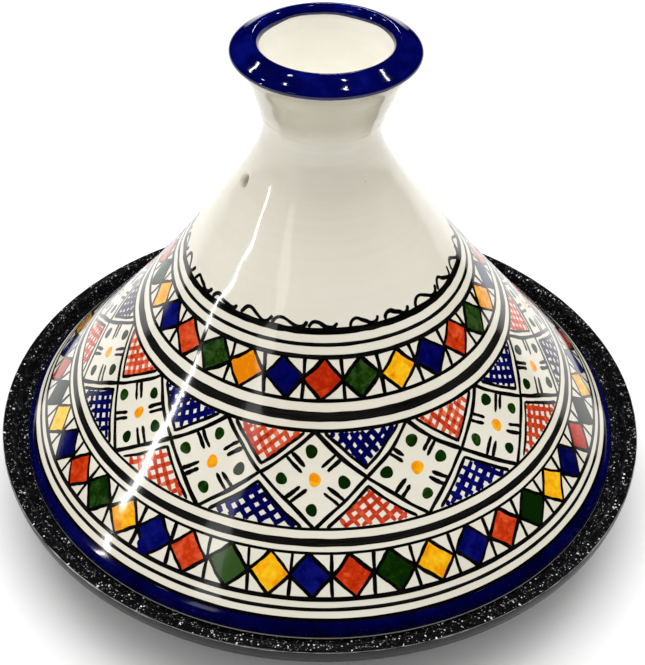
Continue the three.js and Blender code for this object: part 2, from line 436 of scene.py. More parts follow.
# ----------------------------------------------------------------- materials
class Nodes:
    def __init__(self, name):
        self.m = bpy.data.materials.new(name)
        self.m.use_nodes = True
        self.t = self.m.node_tree
        self.b = self.t.nodes["Principled BSDF"]
        self.co = self.t.nodes.new("ShaderNodeTexCoord").outputs["Object"]

    def put(self, node, key, v):
        if hasattr(v, "is_linked") or isinstance(v, bpy.types.NodeSocket):
            self.t.links.new(v, node.inputs[key])
        elif v is not None:
            node.inputs[key].default_value = v

    def mapping(self, scale, rot=(0, 0, 0)):
        n = self.t.nodes.new("ShaderNodeMapping")
        self.t.links.new(self.co, n.inputs["Vector"])
        n.inputs["Scale"].default_value = scale
        n.inputs["Rotation"].default_value = rot
        return n.outputs[0]

    def noise(self, scale, detail=2.0, rough=0.5, distortion=0.0, vector=None):
        n = self.t.nodes.new("ShaderNodeTexNoise")
        self.t.links.new(vector if vector is not None else self.co, n.inputs["Vector"])
        for k, v in (("Scale", scale), ("Detail", detail), ("Roughness", rough), ("Distortion", distortion)):
            n.inputs[k].default_value = v
        return n.outputs["Fac"]

    def voronoi(self, scale, feature="F1", vector=None, out="Distance"):
        n = self.t.nodes.new("ShaderNodeTexVoronoi")
        n.feature = feature
        self.t.links.new(vector if vector is not None else self.co, n.inputs["Vector"])
        n.inputs["Scale"].default_value = scale
        return n.outputs[out]

    def math(self, op, a, b=0.0, c=0.0, clamp=False):
        n = self.t.nodes.new("ShaderNodeMath")
        n.operation, n.use_clamp = op, clamp
        for k, v in enumerate((a, b, c)):
            self.put(n, k, v)
        return n.outputs[0]

    def ramp(self, fac, stops, smooth_ends=False):
        n = self.t.nodes.new("ShaderNodeValToRGB")
        self.t.links.new(fac, n.inputs[0])
        e = n.color_ramp.elements
        n.color_ramp.interpolation = "EASE" if smooth_ends else "LINEAR"
        while len(e) < len(stops):
            e.new(0.5)
        for k, (p, c) in enumerate(stops):
            e[k].position = p
            e[k].color = (*c, 1) if len(c) == 3 else c
        return n.outputs[0]

    def mix(self, fac, a, b, mode="MIX"):
        n = self.t.nodes.new("ShaderNodeMix")
        n.data_type, n.blend_type = "RGBA", mode
        self.put(n, 0, fac)
        for k, v in ((6, a), (7, b)):
            self.put(n, k, (*v, 1) if isinstance(v, tuple) and len(v) == 3 else v)
        return n.outputs[2]

    def attribute(self, name):
        n = self.t.nodes.new("ShaderNodeAttribute")
        n.attribute_name = name
        return n.outputs["Fac"]

    def bump(self, height, strength, distance):
        n = self.t.nodes.new("ShaderNodeBump")
        n.inputs["Strength"].default_value = strength
        n.inputs["Distance"].default_value = distance
        self.t.links.new(height, n.inputs["Height"])
        self.t.links.new(n.outputs[0], self.b.inputs["Normal"])
        return n

    def xyz(self):
        n = self.t.nodes.new("ShaderNodeSeparateXYZ")
        self.t.links.new(self.co, n.inputs[0])
        return n.outputs

    def set(self, **kw):
        for k, v in kw.items():
            key = k.replace("_", " ")
            self.put(self.b, key, (*v, 1) if isinstance(v, tuple) and len(v) == 3 else v)
        return self


def glaze_bump(n, strength=0.25):
    fine = n.noise(420, 2, 0.5)
    soft = n.noise(75, 1, 0.5)
    n.bump(n.math("MULTIPLY_ADD", soft, 2.2, fine), strength, 0.00006)


def cream_glaze(name, tone=((0.735, 0.695, 0.580), (0.770, 0.735, 0.625), (0.790, 0.760, 0.660)), shade_heights=None):
    """The optional pair of heights, in metres, is where painted shade fades in: above it the glaze is darkened to stand
    in for the shade under the rolled rim.
    """
    n = Nodes(name)
    cloud = n.noise(22, 3, 0.55)
    c = n.ramp(cloud, [(0.30, tone[0]), (0.52, tone[1]), (0.75, tone[2])])
    rings = n.noise(1.0, 2, 0.5, vector=n.mapping((10, 10, 420)))
    c = n.mix(0.22, c, n.ramp(rings, [(0.35, (0.90, 0.885, 0.855)), (0.65, (1, 1, 1))]), "MULTIPLY")
    # Painted shade: the colour is darkened above these heights.
    if shade_heights:
        f = n.math("MULTIPLY", n.math("SUBTRACT", n.xyz()[2], shade_heights[0]), 1 / (shade_heights[1] - shade_heights[0]), clamp=True)
        c = n.mix(f, c, n.mix(1.0, c, (0.785, 0.765, 0.725), "MULTIPLY"))
    dots = n.ramp(n.voronoi(150), [(0.035, (0.36, 0.27, 0.16)), (0.07, (1, 1, 1))])
    rare = n.ramp(n.noise(60, 1), [(0.58, (0, 0, 0)), (0.66, (1, 1, 1))])
    c = n.mix(rare, c, n.mix(0.5, c, dots, "MULTIPLY"))
    n.set(Base_Color=c, Metallic=0.0, Roughness=n.math("MULTIPLY_ADD", n.noise(130, 2), 0.08, 0.05))
    n.set(IOR=1.5, Coat_Weight=0.15, Coat_Roughness=0.02)
    glaze_bump(n)
    return n.m


def paint(name, dark, mid, light, scale=130, rough=0.12, tint=0.0, streak=None):
    """Brushed underglaze colour under a clear gloss. Pools darker and thins out
    lighter; streak stretches the variation along the lid's rings."""
    n = Nodes(name)
    a = n.noise(scale, 3, 0.6, 0.6)
    b = n.noise(scale * 3.1, 2, 0.5)
    f = n.math("ADD", n.math("MULTIPLY", a, 0.75), n.math("MULTIPLY", b, 0.25))
    if streak:
        x, y, z = n.xyz()
        rad = n.math("SQRT", n.math("ADD", n.math("MULTIPLY", x, x), n.math("MULTIPLY", y, y)))
        v = n.t.nodes.new("ShaderNodeCombineXYZ")
        n.put(v, 0, n.math("MULTIPLY", n.math("ARCTAN2", x, y), streak[0]))
        n.put(v, 1, n.math("MULTIPLY", n.math("SUBTRACT", z, rad), streak[1]))
        f = n.math("ADD", n.math("MULTIPLY", n.noise(1.0, 3, 0.6, vector=v.outputs[0]), 0.8), n.math("MULTIPLY", f, 0.2))
    if tint:
        f = n.math("ADD", f, n.math("MULTIPLY", n.math("SUBTRACT", n.attribute("tint"), 0.5), tint))
    c = n.ramp(f, [(0.36, dark), (0.5, mid), (0.68, light)])
    n.set(Base_Color=c, Metallic=0.0, Roughness=n.math("MULTIPLY_ADD", n.noise(160, 2), 0.06, rough - 0.06))
    n.set(IOR=1.5, Coat_Weight=0.15, Coat_Roughness=0.02)
    glaze_bump(n)
    return n.m


M_CREAM = cream_glaze("cream_glaze")
# The cup's outside carries painted shade: its cream is darkened from just above the crease up to the rim.
M_CUP_OUT = cream_glaze("cream_glaze_painted_shade", shade_heights=(0.2125, 0.2200))
# Painted light: the cup's inside gets a lighter copy of the cream glaze, standing in for the light that falls into it.
M_CUP_IN = cream_glaze("cream_glaze_painted_light", ((0.900, 0.875, 0.790), (0.930, 0.910, 0.835), (0.945, 0.925, 0.860)))
M_COBALT = paint("cobalt_band_glaze", (0.0002, 0.0003, 0.022), (0.0004, 0.0006, 0.046), (0.0018, 0.0028, 0.085), 34, tint=0.2)
M_RIM = paint("cobalt_rim_glaze", (0.0003, 0.0006, 0.042), (0.0006, 0.0012, 0.066), (0.0020, 0.0036, 0.120), 60, rough=0.08)
M_RING = paint("black_ring_paint", (0.0009, 0.0008, 0.0008), (0.0017, 0.0016, 0.0015), (0.0115, 0.0110, 0.0100), 90, tint=0.5, streak=(2.0, 900))
M_BLACK = paint("black_line_paint", (0.0008, 0.0007, 0.0007), (0.0016, 0.0014, 0.0013), (0.0090, 0.0078, 0.0065), 150)
M_RED = paint("red_paint", (0.38, 0.016, 0.002), (0.56, 0.036, 0.004), (0.70, 0.105, 0.034), 190, tint=0.5)
M_YELLOW = paint("yellow_paint", (0.76, 0.210, 0.0010), (0.88, 0.370, 0.002), (0.95, 0.570, 0.014), 170, tint=0.5)
M_GREEN = paint("green_paint", (0.0026, 0.0160, 0.0007), (0.0058, 0.0320, 0.0010), (0.0320, 0.0740, 0.0150), 190, tint=0.9)
M_BLUE = paint("blue_paint", (0.0005, 0.0006, 0.050), (0.0009, 0.0013, 0.082), (0.0034, 0.0055, 0.140), 160, tint=0.5)
M_ORANGE = paint("orange_paint", (0.80, 0.220, 0.0012), (0.90, 0.350, 0.003), (0.96, 0.520, 0.020), 230)
M_PINK = paint("red_wash", (0.48, 0.040, 0.014), (0.60, 0.080, 0.030), (0.74, 0.190, 0.100), 210, tint=0.7)


# ---------------------------------------------------------------- lid: cone
cone_pts = spline(CONE, 1.25)
_d = np.gradient(cone_pts, axis=0)
_d /= np.linalg.norm(_d, axis=1)[:, None]
inner = (cone_pts - 6.0 * np.c_[_d[:, 1], -_d[:, 0]])[::-3]
hollow_top = CREASE - 8.5
inner = inner[(inner[:, 1] < hollow_top - 12) & (inner[:, 1] > 5)]
dome = spline([(0, hollow_top), (7, hollow_top - 1.2), (13.5, hollow_top - 4.6), (19, hollow_top - 10), tuple(inner[0])], 2.0)
dome[0] = (0, hollow_top)
foot = rounded([inner[-1], (141.9, 3.8), (142.4, 1.4), (147.2, 1.4), (148.0, 2.6), (147.9, 3.4)], [0, 1.5, 0.5, 0.7, 0.6, 0], 5)
profile = np.concatenate([dome[:-1], inner, foot[1:-1]])
N_TH = 320
th = np.arange(N_TH) * 2 * math.pi / N_TH
Vi, Fi = lathe_mesh(profile + [0, UP], N_TH, lean)
outer_s = np.r_[0.9, np.arange(2.0, S_TOP - 0.4, 1.25), S_TOP - 0.05]
T2, S2 = np.meshgrid(th, outer_s)
Vo = surf(T2.ravel(), S2.ravel(), np.zeros(T2.size))
base = len(Vi)
V = np.concatenate([Vi, Vo, [[float(drift(CREASE)), 0, UP + CREASE]]])
F = list(Fi)
first = base - N_TH
for k in range(len(outer_s)):
    a = first if k == 0 else base + (k - 1) * N_TH
    b = base + k * N_TH
    F += [(a + i, b + i, b + (i + 1) % N_TH, a + (i + 1) % N_TH) for i in range(N_TH)]
last = base + (len(outer_s) - 1) * N_TH
F += [(last + i, len(V) - 1, last + (i + 1) % N_TH) for i in range(N_TH)]
cone = new_object("lid_ceramic", V, F)

# Steam hole, pierced square to the wall, with its mouth sponged soft.
HOLE_TH, HOLE_Z = math.radians(-71.5), 148.3
hole_prof = [(0, -14), (3.0, -14), (3.0, -1.9)]
hole_prof += [(3.0 + 1.6 * (1 - math.cos(a)), -1.9 + 1.95 * math.sin(a)) for a in np.linspace(0.15, math.pi / 2, 10)]
hole_prof += [(6.0, 0.45), (6.0, 4), (0, 4)]
Vh, Fh = lathe_mesh(hole_prof, 56)
cutter = new_object("steam_hole_cutter", Vh, Fh)
sl = math.atan2(0.64, 1)
cutter.data.transform(Matrix.Rotation(math.pi / 2 - sl, 4, "X"))
cutter.data.transform(Matrix.Rotation(HOLE_TH, 4, "Z"))
hc = surf(HOLE_TH, s_at(HOLE_Z), 0.0) / 1000
cutter.data.transform(Matrix.Translation(Vector(hc)))
mod = cone.modifiers.new("steam_hole", "BOOLEAN")
mod.operation, mod.object, mod.solver = "DIFFERENCE", cutter, "EXACT"
bpy.context.view_layer.update()
dg = bpy.context.evaluated_depsgraph_get()
cut = bpy.data.meshes.new_from_object(cone.evaluated_get(dg))
cone.modifiers.clear()
cone.data = cut
bpy.data.objects.remove(cutter)
cut.polygons.foreach_set("use_smooth", [True] * len(cut.polygons))
cut.materials.clear()
cut.materials.append(M_CREAM)
sharpen(cone, 50)
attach(cone, "lid")
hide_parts("lid_cone")

# ---------------------------------------------------------------- lid: cup
CUP_OUT = [(27.1, 177.5), (28.0, 180.4), (29.8, 186.0), (31.9, 191.6), (34.0, 196.8), (36.1, 201.2)]
ROLL = [(37.3, 204.9), (39.0, 205.55), (40.5, 206.3), (41.25, 207.4), (41.15, 208.3), (40.2, 209.35), (38.2, 210.45),
        (35.5, 211.9), (33.0, 213.05), (31.2, 213.31), (29.8, 212.6), (28.8, 211.0), (28.3, 209.0)]
CUP_IN = [(27.6, 204.5), (26.3, 198.5), (24.6, 192.0), (22.9, 187.2), (20.6, 184.2), (17.0, 182.7), (12.0, 182.2)]
cup_outer = spline(CUP_OUT + [(37.3, 204.8)], 1.0)
roll = spline(ROLL, 0.45)
_d = np.gradient(roll, axis=0)
_d /= np.linalg.norm(_d, axis=1)[:, None]
roll_n = np.c_[_d[:, 1], -_d[:, 0]]
cup_inner = spline([tuple(roll[-1] - roll_n[-1] * 0.0)] + CUP_IN, 1.2)
under = roll - roll_n * 0.35
cup_profile = np.concatenate([
    [(0, CREASE + GAP), (9, CREASE + GAP), (18, CREASE + GAP)],
    rounded([(25.4, CREASE + GAP), (26.8, CREASE + GAP), (27.1, 177.5)], 0.5, 4),
    cup_outer[1:-1], under[1:-1], cup_inner[1:], [(6, 182.2), (0, 182.2)],
])
Vc, Fc = lathe_mesh(cup_profile + [0, UP], 192)
ang = np.arctan2(Vc[:, 0], -Vc[:, 1])
rr = np.hypot(Vc[:, 0], Vc[:, 1])
rip = 0.05 * np.sin(2 * ang + Vc[:, 2] * 0.13) + 0.035 * np.sin(5 * ang - Vc[:, 2] * 0.21)
keep = (rr > 22) & (Vc[:, 2] < UP + 201)
Vc[:, 0] -= np.where(keep, np.abs(rip) * np.sin(ang), 0)
Vc[:, 1] += np.where(keep, np.abs(rip) * np.cos(ang), 0)
cup = new_object("cup_ceramic", lean(Vc), Fc)
cup.data.materials.append(M_CUP_OUT)
cup.data.materials.append(M_CUP_IN)
centres = np.array([p.center for p in cup.data.polygons]) * 1000
cr = np.hypot(centres[:, 0] - drift(centres[:, 2] - UP), centres[:, 1])
hollow_r = np.interp(centres[:, 2] - UP, [182.0, 184.2, 192.0, 204.5, 213.0], [19.5, 21.8, 25.8, 29.6, 31.5])
# Faces inside the hollow take the lighter copy, the painted light.
cup.data.polygons.foreach_set("material_index", ((cr < hollow_r) & (centres[:, 2] > UP + 181)).astype(np.int32))
sharpen(cup, 50)
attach(cup, "lid")
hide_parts("lid_cup")

# Slip wiped over the joint where the cup was luted to the cone.
slip_line = spline([(26.0, 173.7), (26.50, 173.95), (26.70, 174.8), (26.86, 175.7), (26.98, 176.5), (27.14, 177.2), (27.38, 178.0), (27.60, 178.8), (27.70, 179.3), (27.4, 179.7)], 0.2)
slip_prof = np.concatenate([slip_line, (slip_line - [0.55, 0])[::-1]])
Vs, Fs = lathe_mesh(slip_prof + [0, UP], 192, closed=True)
ang = np.arctan2(Vs[:, 0], -Vs[:, 1])
push = 0.03 * np.sin(5 * ang + 0.4) + 0.02 * np.sin(9 * ang + Vs[:, 2] * 0.5)
Vs[:, 0] += push * np.sin(ang)
Vs[:, 1] -= push * np.cos(ang)
slip = new_object("luting_slip", lean(Vs), Fs)
slip.data.materials.append(M_CREAM)
sharpen(slip, 70)
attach(slip, "lid")

# The rolled rim's cobalt glaze: a coat whose two edges wander a little.
n_r, n_t = len(roll), 256
tt = np.arange(n_t) * 2 * math.pi / n_t
RL = np.r_[0, np.cumsum(np.hypot(*np.diff(roll, axis=0).T))]
Vr, Fr = [], []
for i, a in enumerate(tt):
    lo = 0.35 + 0.30 * math.sin(3 * a + 1) + 0.16 * math.sin(8 * a + 2)
    hi = RL[-1] - 0.35 - 0.30 * math.sin(4 * a + 0.4) - 0.15 * math.sin(9 * a)
    q = np.linspace(lo, hi, n_r)
    pr, pz = np.interp(q, RL, roll[:, 0]), np.interp(q, RL, roll[:, 1])
    nr, nz = np.interp(q, RL, roll_n[:, 0]), np.interp(q, RL, roll_n[:, 1])
    e = np.minimum(q - lo, hi - q)
    d = -0.26 * (1 - smooth(e / 0.8))
    for r_, z_ in zip(pr + nr * d, pz + nz * d):
        Vr.append((r_ * math.sin(a), -r_ * math.cos(a), z_ + UP))
    for r_, z_ in zip((pr - nr * 0.6)[::-1], (pz - nz * 0.6)[::-1]):
        Vr.append((r_ * math.sin(a), -r_ * math.cos(a), z_ + UP))
m = 2 * n_r
for i in range(n_t):
    j = (i + 1) % n_t
    Fr += [(i * m + k, j * m + k, j * m + (k + 1) % m, i * m + (k + 1) % m) for k in range(m)]
rim = new_object("cup_rim_cobalt", lean(np.array(Vr)), Fr)
rim.data.materials.append(M_RIM)
sharpen(rim, 60)
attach(rim, "lid")

# -------------------------------------------------------------- lid: painting
D = math.radians
H_FILL, H_CROSS, H_LINE = 0.05, 0.07, 0.10
rng = np.random.default_rng(1913)


def ring(film, z_hi, z_lo, h=H_LINE, seed=0, tint=0.5, jitter=0.10, n=720, across=7):
    g = np.random.default_rng(seed)
    a = np.arange(n) * 2 * math.pi / n
    s0, s1 = s_at(z_lo), s_at(z_hi)
    mid, w = (s0 + s1) / 2, s1 - s0
    k = [(int(g.integers(2, 40)), g.uniform(0, 6.28), g.uniform(0.3, 1)) for _ in range(10)]
    c = sum(x[2] * np.sin(x[0] * a + x[1]) / (1 + x[0] * 0.05) for x in k) * jitter * 0.35
    k = [(int(g.integers(3, 60)), g.uniform(0, 6.28), g.uniform(0.3, 1)) for _ in range(10)]
    ww = w * (1 + 0.045 * sum(x[2] * np.sin(x[0] * a + x[1]) for x in k) / 1.6)
    film.ribbon(np.c_[a, mid + c], ww, h, closed=True, tint=tint, across=across)


# Cobalt band at the foot.
band = Film("foot_band_cobalt")
g = np.random.default_rng(3)
a = np.arange(720) * 2 * math.pi / 720
top_edge = s_at(9.5) + 0.10 * np.sin(7 * a + 1) + 0.07 * np.sin(19 * a + 2) + 0.05 * np.sin(41 * a)
low_edge = 0.7 + 0.0 * a
band.ribbon(np.c_[a, (top_edge + low_edge) / 2], top_edge - low_edge, 0.06, closed=True, across=13)
band.make(M_COBALT, "cobalt_glaze")

rings = Film("ring_lines_black")
RINGS = [(107.5, 105.05, 0.5), (102.25, 100.9, 0.55), (98.1, 96.4, 0.62), (82.85, 81.5, 0.45), (78.35, 74.95, 0.72),
         (72.5, 71.2, 0.40), (39.75, 38.75, 0.5), (36.2, 33.6, 0.66), (32.0, 31.05, 0.5), (17.2, 15.6, 0.5),
         (13.7, 12.5, 0.6), (10.5, 9.4, 0.35)]
for i, (zh, zl, t) in enumerate(RINGS):
    ring(rings, zh, zl, seed=100 + i, tint=t)
rings.make(M_RING)

lines = Film("pattern_lines_black")
fills = {k: Film(n) for k, n in (("R", "diamonds_red"), ("G", "diamonds_green"), ("Y", "diamonds_yellow"), ("B", "diamonds_blue"))}


def diamonds(count, phase, colour0, z_hi, z_lo, lw, wide):
    """A row of diamonds that touch corner to corner, with a divider through
    every point where two meet."""
    pitch = 2 * math.pi / count
    s0, s1 = s_at(z_lo), s_at(z_hi)
    sm = (s0 + s1) / 2
    r = float(np.interp(sm, S, PR))
    cycle = "RGYB"
    for i in range(count):
        c = phase + i * pitch + rng.normal(0, 0.012) * pitch
        col = cycle[(colour0 + i) % 4]
        j = lambda q=0.35: rng.normal(0, q)
        half = pitch / 2 * wide
        sk = rng.normal(0, 0.8) / r
        T = (c + sk + j() / r, s1 + j(0.15) - 0.1)
        B = (c - sk + j() / r, s0 + j(0.15) + 0.1)
        Lf = (c - half + j(0.3) / r, sm + j(0.5))
        Rt = (c + half + j(0.3) / r, sm + j(0.5))
        tint = float(np.clip(0.5 + rng.normal(0, 0.16), 0, 1))
        if count == 44 and i % 44 == 41:
            tint = 1.0
        elif col == "G":
            tint = min(tint, 0.62)
        fills[col].quad([T, Rt, B, Lf], H_FILL, rng, wob=0.22, bulge=0.15, tint=tint)
        for p, q in ((T, Rt), (Rt, B), (B, Lf), (Lf, T)):
            d = ((p[0] + q[0]) / 2 + j(0.16) / r, (p[1] + q[1]) / 2 + j(0.16))
            lines.stroke([p, d, q], lw * rng.uniform(0.85, 1.2), H_LINE, rng, over=rng.uniform(0.0, 0.7))
        e = c + pitch / 2
        lean_ = rng.normal(0, 0.7) / r
        lines.stroke([(e + lean_, s1 - 0.2), (e + j(0.12) / r, sm), (e - lean_, s0 + 0.2)], lw * rng.uniform(0.95, 1.25), H_LINE, rng,
                     over=rng.uniform(0.0, 0.6))
    return pitch


diamonds(28, D(0.9), 0, 97.2, 82.2, 1.58, 1.0)
diamonds(44, D(7.0), 0, 31.6, 16.6, 1.58, 0.98)

# A daub of blue that ran off the lower edge of one diamond.
sd = s_at(16.9)
fills["B"].blob(D(-34.9), sd + 0.9, 2.9, 2.2, H_LINE + 0.015, rng, 0.45)
fills["B"].blob(D(-35.5), sd + 3.1, 2.6, 2.4, H_LINE + 0.02, rng, 0.45)

# ---- wide band of flower lozenges and gingham triangles
greens, oranges = Film("flower_dots_green"), Film("flower_hearts_orange")
check_blue, check_red, cross_red = Film("gingham_blue"), Film("gingham_red"), Film("gingham_red_crossings")
FL, FPH = 14, D(-1.2)
fp = 2 * math.pi / FL
sT, sB = s_at(71.6), s_at(39.4)
sM = (sT + sB) / 2 + 0.2


def local(c):
    """Maps millimetres round the band's middle circle, and s, to (th, s)."""
    return lambda x, y: (c + x / 104.0, y)


def clip(tri, p, d):
    """Part of the line p + t d inside a triangle, or None."""
    lo, hi = -1e9, 1e9
    for i in range(3):
        a, b, c3 = tri[i], tri[(i + 1) % 3], tri[(i + 2) % 3]
        n = np.array([b[1] - a[1], a[0] - b[0]])
        if np.dot(n, c3 - a) < 0:
            n = -n
        num, den = np.dot(n, a - p), np.dot(n, d)
        if abs(den) < 1e-9:
            if num > 0:
                return None
            continue
        t = num / den
        if den > 0:
            lo = max(lo, t)
        else:
            hi = min(hi, t)
    return (lo, hi) if hi - lo > 1.0 else None


def gingham(tri, film, width, pitch, rot, cross=None):
    """Crossed brush strokes filling a triangle given in mm (x, s)."""
    tri = [np.array(p, float) for p in tri]
    mid = sum(tri) / 3
    depth = rng.uniform(0.15, 0.6)
    sets = []
    for k, a in enumerate((rot, rot + math.pi / 2 + rng.normal(0, 0.08))):
        d = np.array([math.cos(a), math.sin(a)])
        n = np.array([-d[1], d[0]])
        rows = []
        off = rng.uniform(-0.5, 0.5) * pitch
        for i in range(-9, 10):
            p = mid + n * (off + i * pitch + rng.normal(0, 0.10))
            dd = d + n * rng.normal(0, 0.03)
            t = clip(tri, p, dd)
            if t:
                a0, a1 = p + dd * (t[0] - rng.uniform(0.0, 0.45)), p + dd * (t[1] + rng.uniform(0.0, 0.45))
                rows.append((a0, a1, width * rng.uniform(0.85, 1.15)))
        sets.append(rows)
        for a0, a1, w in rows:
            film.stroke([(a0[0] / 104.0, a0[1]), (a1[0] / 104.0, a1[1])], w, H_FILL + 0.012 * k, rng, step=1.6, wob=0.06, taper=0.7,
                        tint=float(np.clip(rng.normal(depth, 0.13), 0, 1)))
    if cross:
        for a0, a1, w0 in sets[0]:
            for b0, b1, w1 in sets[1]:
                A = np.array([a1 - a0, b0 - b1]).T
                t, u = np.linalg.solve(A, b0 - a0)
                if -0.02 < t < 1.02 and -0.02 < u < 1.02:
                    p = a0 + (a1 - a0) * t
                    ea, eb = (a1 - a0) / np.linalg.norm(a1 - a0), (b1 - b0) / np.linalg.norm(b1 - b0)
                    q = [p + ea * x * w1 * 0.46 + eb * y * w0 * 0.46 for x, y in ((-1, -1), (1, -1), (1, 1), (-1, 1))]
                    cross.quad([(v[0] / 104.0, v[1]) for v in q], H_CROSS + 0.01, rng, wob=0.05, n=2, tint=float(rng.uniform(0.2, 0.7)))


X_HALF = fp / 2 * 104.0
corners = []
for i in range(FL):
    c = FPH + i * fp
    corners.append(dict(
        T=(c + rng.normal(0, 0.5) / 104, sT), B=(c + rng.normal(0.2, 0.6) / 104, sB),
        R=(c + fp / 2 + rng.normal(0, 0.5) / 104, sM + rng.normal(0, 0.5))))
for i in range(FL):
    k, prev, nxt = corners[i], corners[i - 1], corners[(i + 1) % FL]
    c = FPH + i * fp
    T, B, R_ = k["T"], k["B"], k["R"]
    Lf = (prev["R"][0] - (2 * math.pi if i == 0 else 0), prev["R"][1])
    for p, q, b in ((T, R_, 0.55), (R_, B, 0.45), (B, Lf, 0.45), (Lf, T, 0.55)):
        # The strokes bow a little into the lozenge.
        m_ = np.array([(p[0] + q[0]) / 2 * 104, (p[1] + q[1]) / 2])
        o_ = np.array([c * 104, sM]) - m_
        m_ += o_ / np.linalg.norm(o_) * (rng.normal(b, 0.25))
        lines.stroke([p, (m_[0] / 104, m_[1]), q], 1.85 * rng.uniform(0.9, 1.15), H_LINE, rng, over=rng.uniform(0, 0.5), wob=0.12)
    # Heart and dots.
    hx, hy = rng.normal(0, 0.4), rng.normal(0, 0.4)
    oranges.blob(c + hx / 104, sM + hy, 2.60 * rng.uniform(0.93, 1.07), 3.0 * rng.uniform(0.93, 1.07), H_FILL, rng, rng.uniform(0.3, 0.7))
    for dx, dy in ((0, 0.585), (0, -0.60), (-0.60, 0), (0.56, 0)):
        x = dx * X_HALF + rng.normal(0, 0.45) + (rng.normal(0, 0.8) if dx == 0 else 0)
        y = dy * (sT - sM) + rng.normal(0, 0.45)
        greens.blob(c + x / 104, sM + y, 2.65 * rng.uniform(0.90, 1.1), 2.85 * rng.uniform(0.9, 1.08), H_FILL, rng, rng.uniform(0.2, 0.5))
    # Two short parallel strokes in from the middle of each side.
    C0 = np.array([c * 104, sM])
    for p, q in ((T, R_), (R_, B), (B, Lf), (Lf, T)):
        P0, Q0 = np.array([p[0] * 104, p[1]]), np.array([q[0] * 104, q[1]])
        e = (Q0 - P0) / np.linalg.norm(Q0 - P0)
        m_ = P0 * 0.5 + Q0 * 0.5
        inward = C0 - m_
        inward /= np.linalg.norm(inward)
        m_ = m_ + inward * 0.5
        for sgn in (-1, 1):
            st = m_ + e * sgn * (1.55 + rng.normal(0, 0.18))
            L = 8.6 + rng.normal(0, 0.7)
            en = st + inward * L - e * sgn * rng.normal(0.12, 0.2)
            bow = (st + en) / 2 + e * rng.normal(0, 0.18)
            lines.stroke([(st[0] / 104, st[1]), (bow[0] / 104, bow[1]), (en[0] / 104, en[1])], 1.75 * rng.uniform(0.85, 1.15), H_LINE, rng,
                         wob=0.05, taper=0.5)
    # Triangles between this lozenge and the next, above and below their corner.
    nT, nB = nxt["T"], nxt["B"]
    if i == FL - 1:
        nT, nB = (nT[0] + 2 * math.pi, nT[1]), (nB[0] + 2 * math.pi, nB[1])
    for side, (A_, B_), ring_s in ((1, (T, nT), s_at(71.0)), (-1, (B, nB), s_at(40.1))):
        blue = (i % 2 == 0) == (side == 1)
        ax = np.array([R_[0] * 104, R_[1]])
        a0, b0 = np.array([A_[0] * 104, A_[1]]), np.array([B_[0] * 104, B_[1]])
        inset = 3.0
        cen = (ax + a0 + b0) / 3

        def shifted(p, q):
            d = (q - p) / np.linalg.norm(q - p)
            n_ = np.array([-d[1], d[0]])
            if np.dot(n_, cen - p) < 0:
                n_ = -n_
            return p + n_ * inset, d

        (p1, d1), (p2, d2) = shifted(ax, a0), shifted(ax, b0)
        t = np.linalg.solve(np.array([d1, -d2]).T, p2 - p1)
        apex = p1 + d1 * t[0]
        ea = p1 + d1 * ((ring_s - p1[1]) / d1[1])
        eb = p2 + d2 * ((ring_s - p2[1]) / d2[1])
        for end in (ea, eb):
            lines.stroke([(apex[0] / 104, apex[1]), ((apex[0] + end[0]) / 208 + rng.normal(0, 0.2) / 104, (apex[1] + end[1]) / 2),
                          (end[0] / 104, end[1])], 1.52 * rng.uniform(0.9, 1.15), H_LINE, rng, over=rng.uniform(0.1, 0.8))
        inner_tri = [apex + (np.array([0.0, side * 1.2])), ea + np.array([1.3, 0]) * np.sign(eb[0] - ea[0]), eb - np.array([1.3, 0]) * np.sign(eb[0] - ea[0])]
        rot = rng.normal(0.72, 0.10)
        if blue:
            gingham(inner_tri, check_blue, 2.45, 4.15, rot)
        else:
            gingham(inner_tri, check_red, 2.10, 4.05, rot, cross_red)

# ---- curled strokes along the topmost ring
SQ = 24
CURL = np.array([(0.1, 0.2), (0.8, 2.0), (2.3, 3.5), (4.1, 3.7), (6.2, 2.7), (8.4, 1.4), (10.6, 0.4), (12.4, 0.4), (13.8, 1.5), (14.6, 3.2)])
r_sq = float(np.interp(s_at(108), S, PR))
for i in range(SQ):
    c = D(-3.5) + i * 2 * math.pi / SQ + rng.normal(0, 0.008)
    q = CURL * [rng.uniform(0.86, 1.10), rng.uniform(0.75, 1.3)] + rng.normal(0, 0.16, CURL.shape)
    lines.stroke(np.c_[c + q[:, 0] / r_sq, s_at(107.4) + q[:, 1] - 0.2], 1.75 * rng.uniform(0.85, 1.15), H_LINE, rng, wob=0.08, taper=0.7, step=0.9)
lines.make(M_BLACK)
for k, mt in (("R", M_RED), ("G", M_GREEN), ("Y", M_YELLOW), ("B", M_BLUE)):
    fills[k].make(mt)
greens.make(M_GREEN)
oranges.make(M_ORANGE)
check_blue.make(M_BLUE)
check_red.make(M_PINK)
cross_red.make(M_RED)

# ----------------------------------------------------------------------- pan
LIP = UP + 8.4
LEDGE = UP + 1.1
pan_pts = [(0, 2.9), (106.3, 2.9), (106.3, 0), (120, 0), (123.6, 0.9), (127.6, 4.2), (131.6, 9.6), (136.6, 18), (140.6, 26),
           (143.6, 31), (147.4, 33.3), (158.1, UP), (158.9, UP + 0.7), (160, UP + 5.2), (160, LIP - 0.1), (155.0, LIP),
           (153.9, LEDGE + 2.4), (152.9, LEDGE + 0.3), (150.9, LEDGE), (140.7, LEDGE), (139.2, LEDGE - 1.4), (136.4, 27.6),
           (132.2, 19.4), (127.2, 11.8), (121.5, 8.3), (113, 7.2), (0, 7.2)]
cuts = [0, 0.3, 0.4, 2.0, 4, 4, 6, 6, 4, 3, 3, 0.5, 0.8, 3, 1.0, 0.9, 1.4, 1.0, 1.2, 1.3, 2, 6, 6, 6, 5, 6, 0]
pan_prof = refine(rounded(pan_pts, cuts, 6), 6.0)


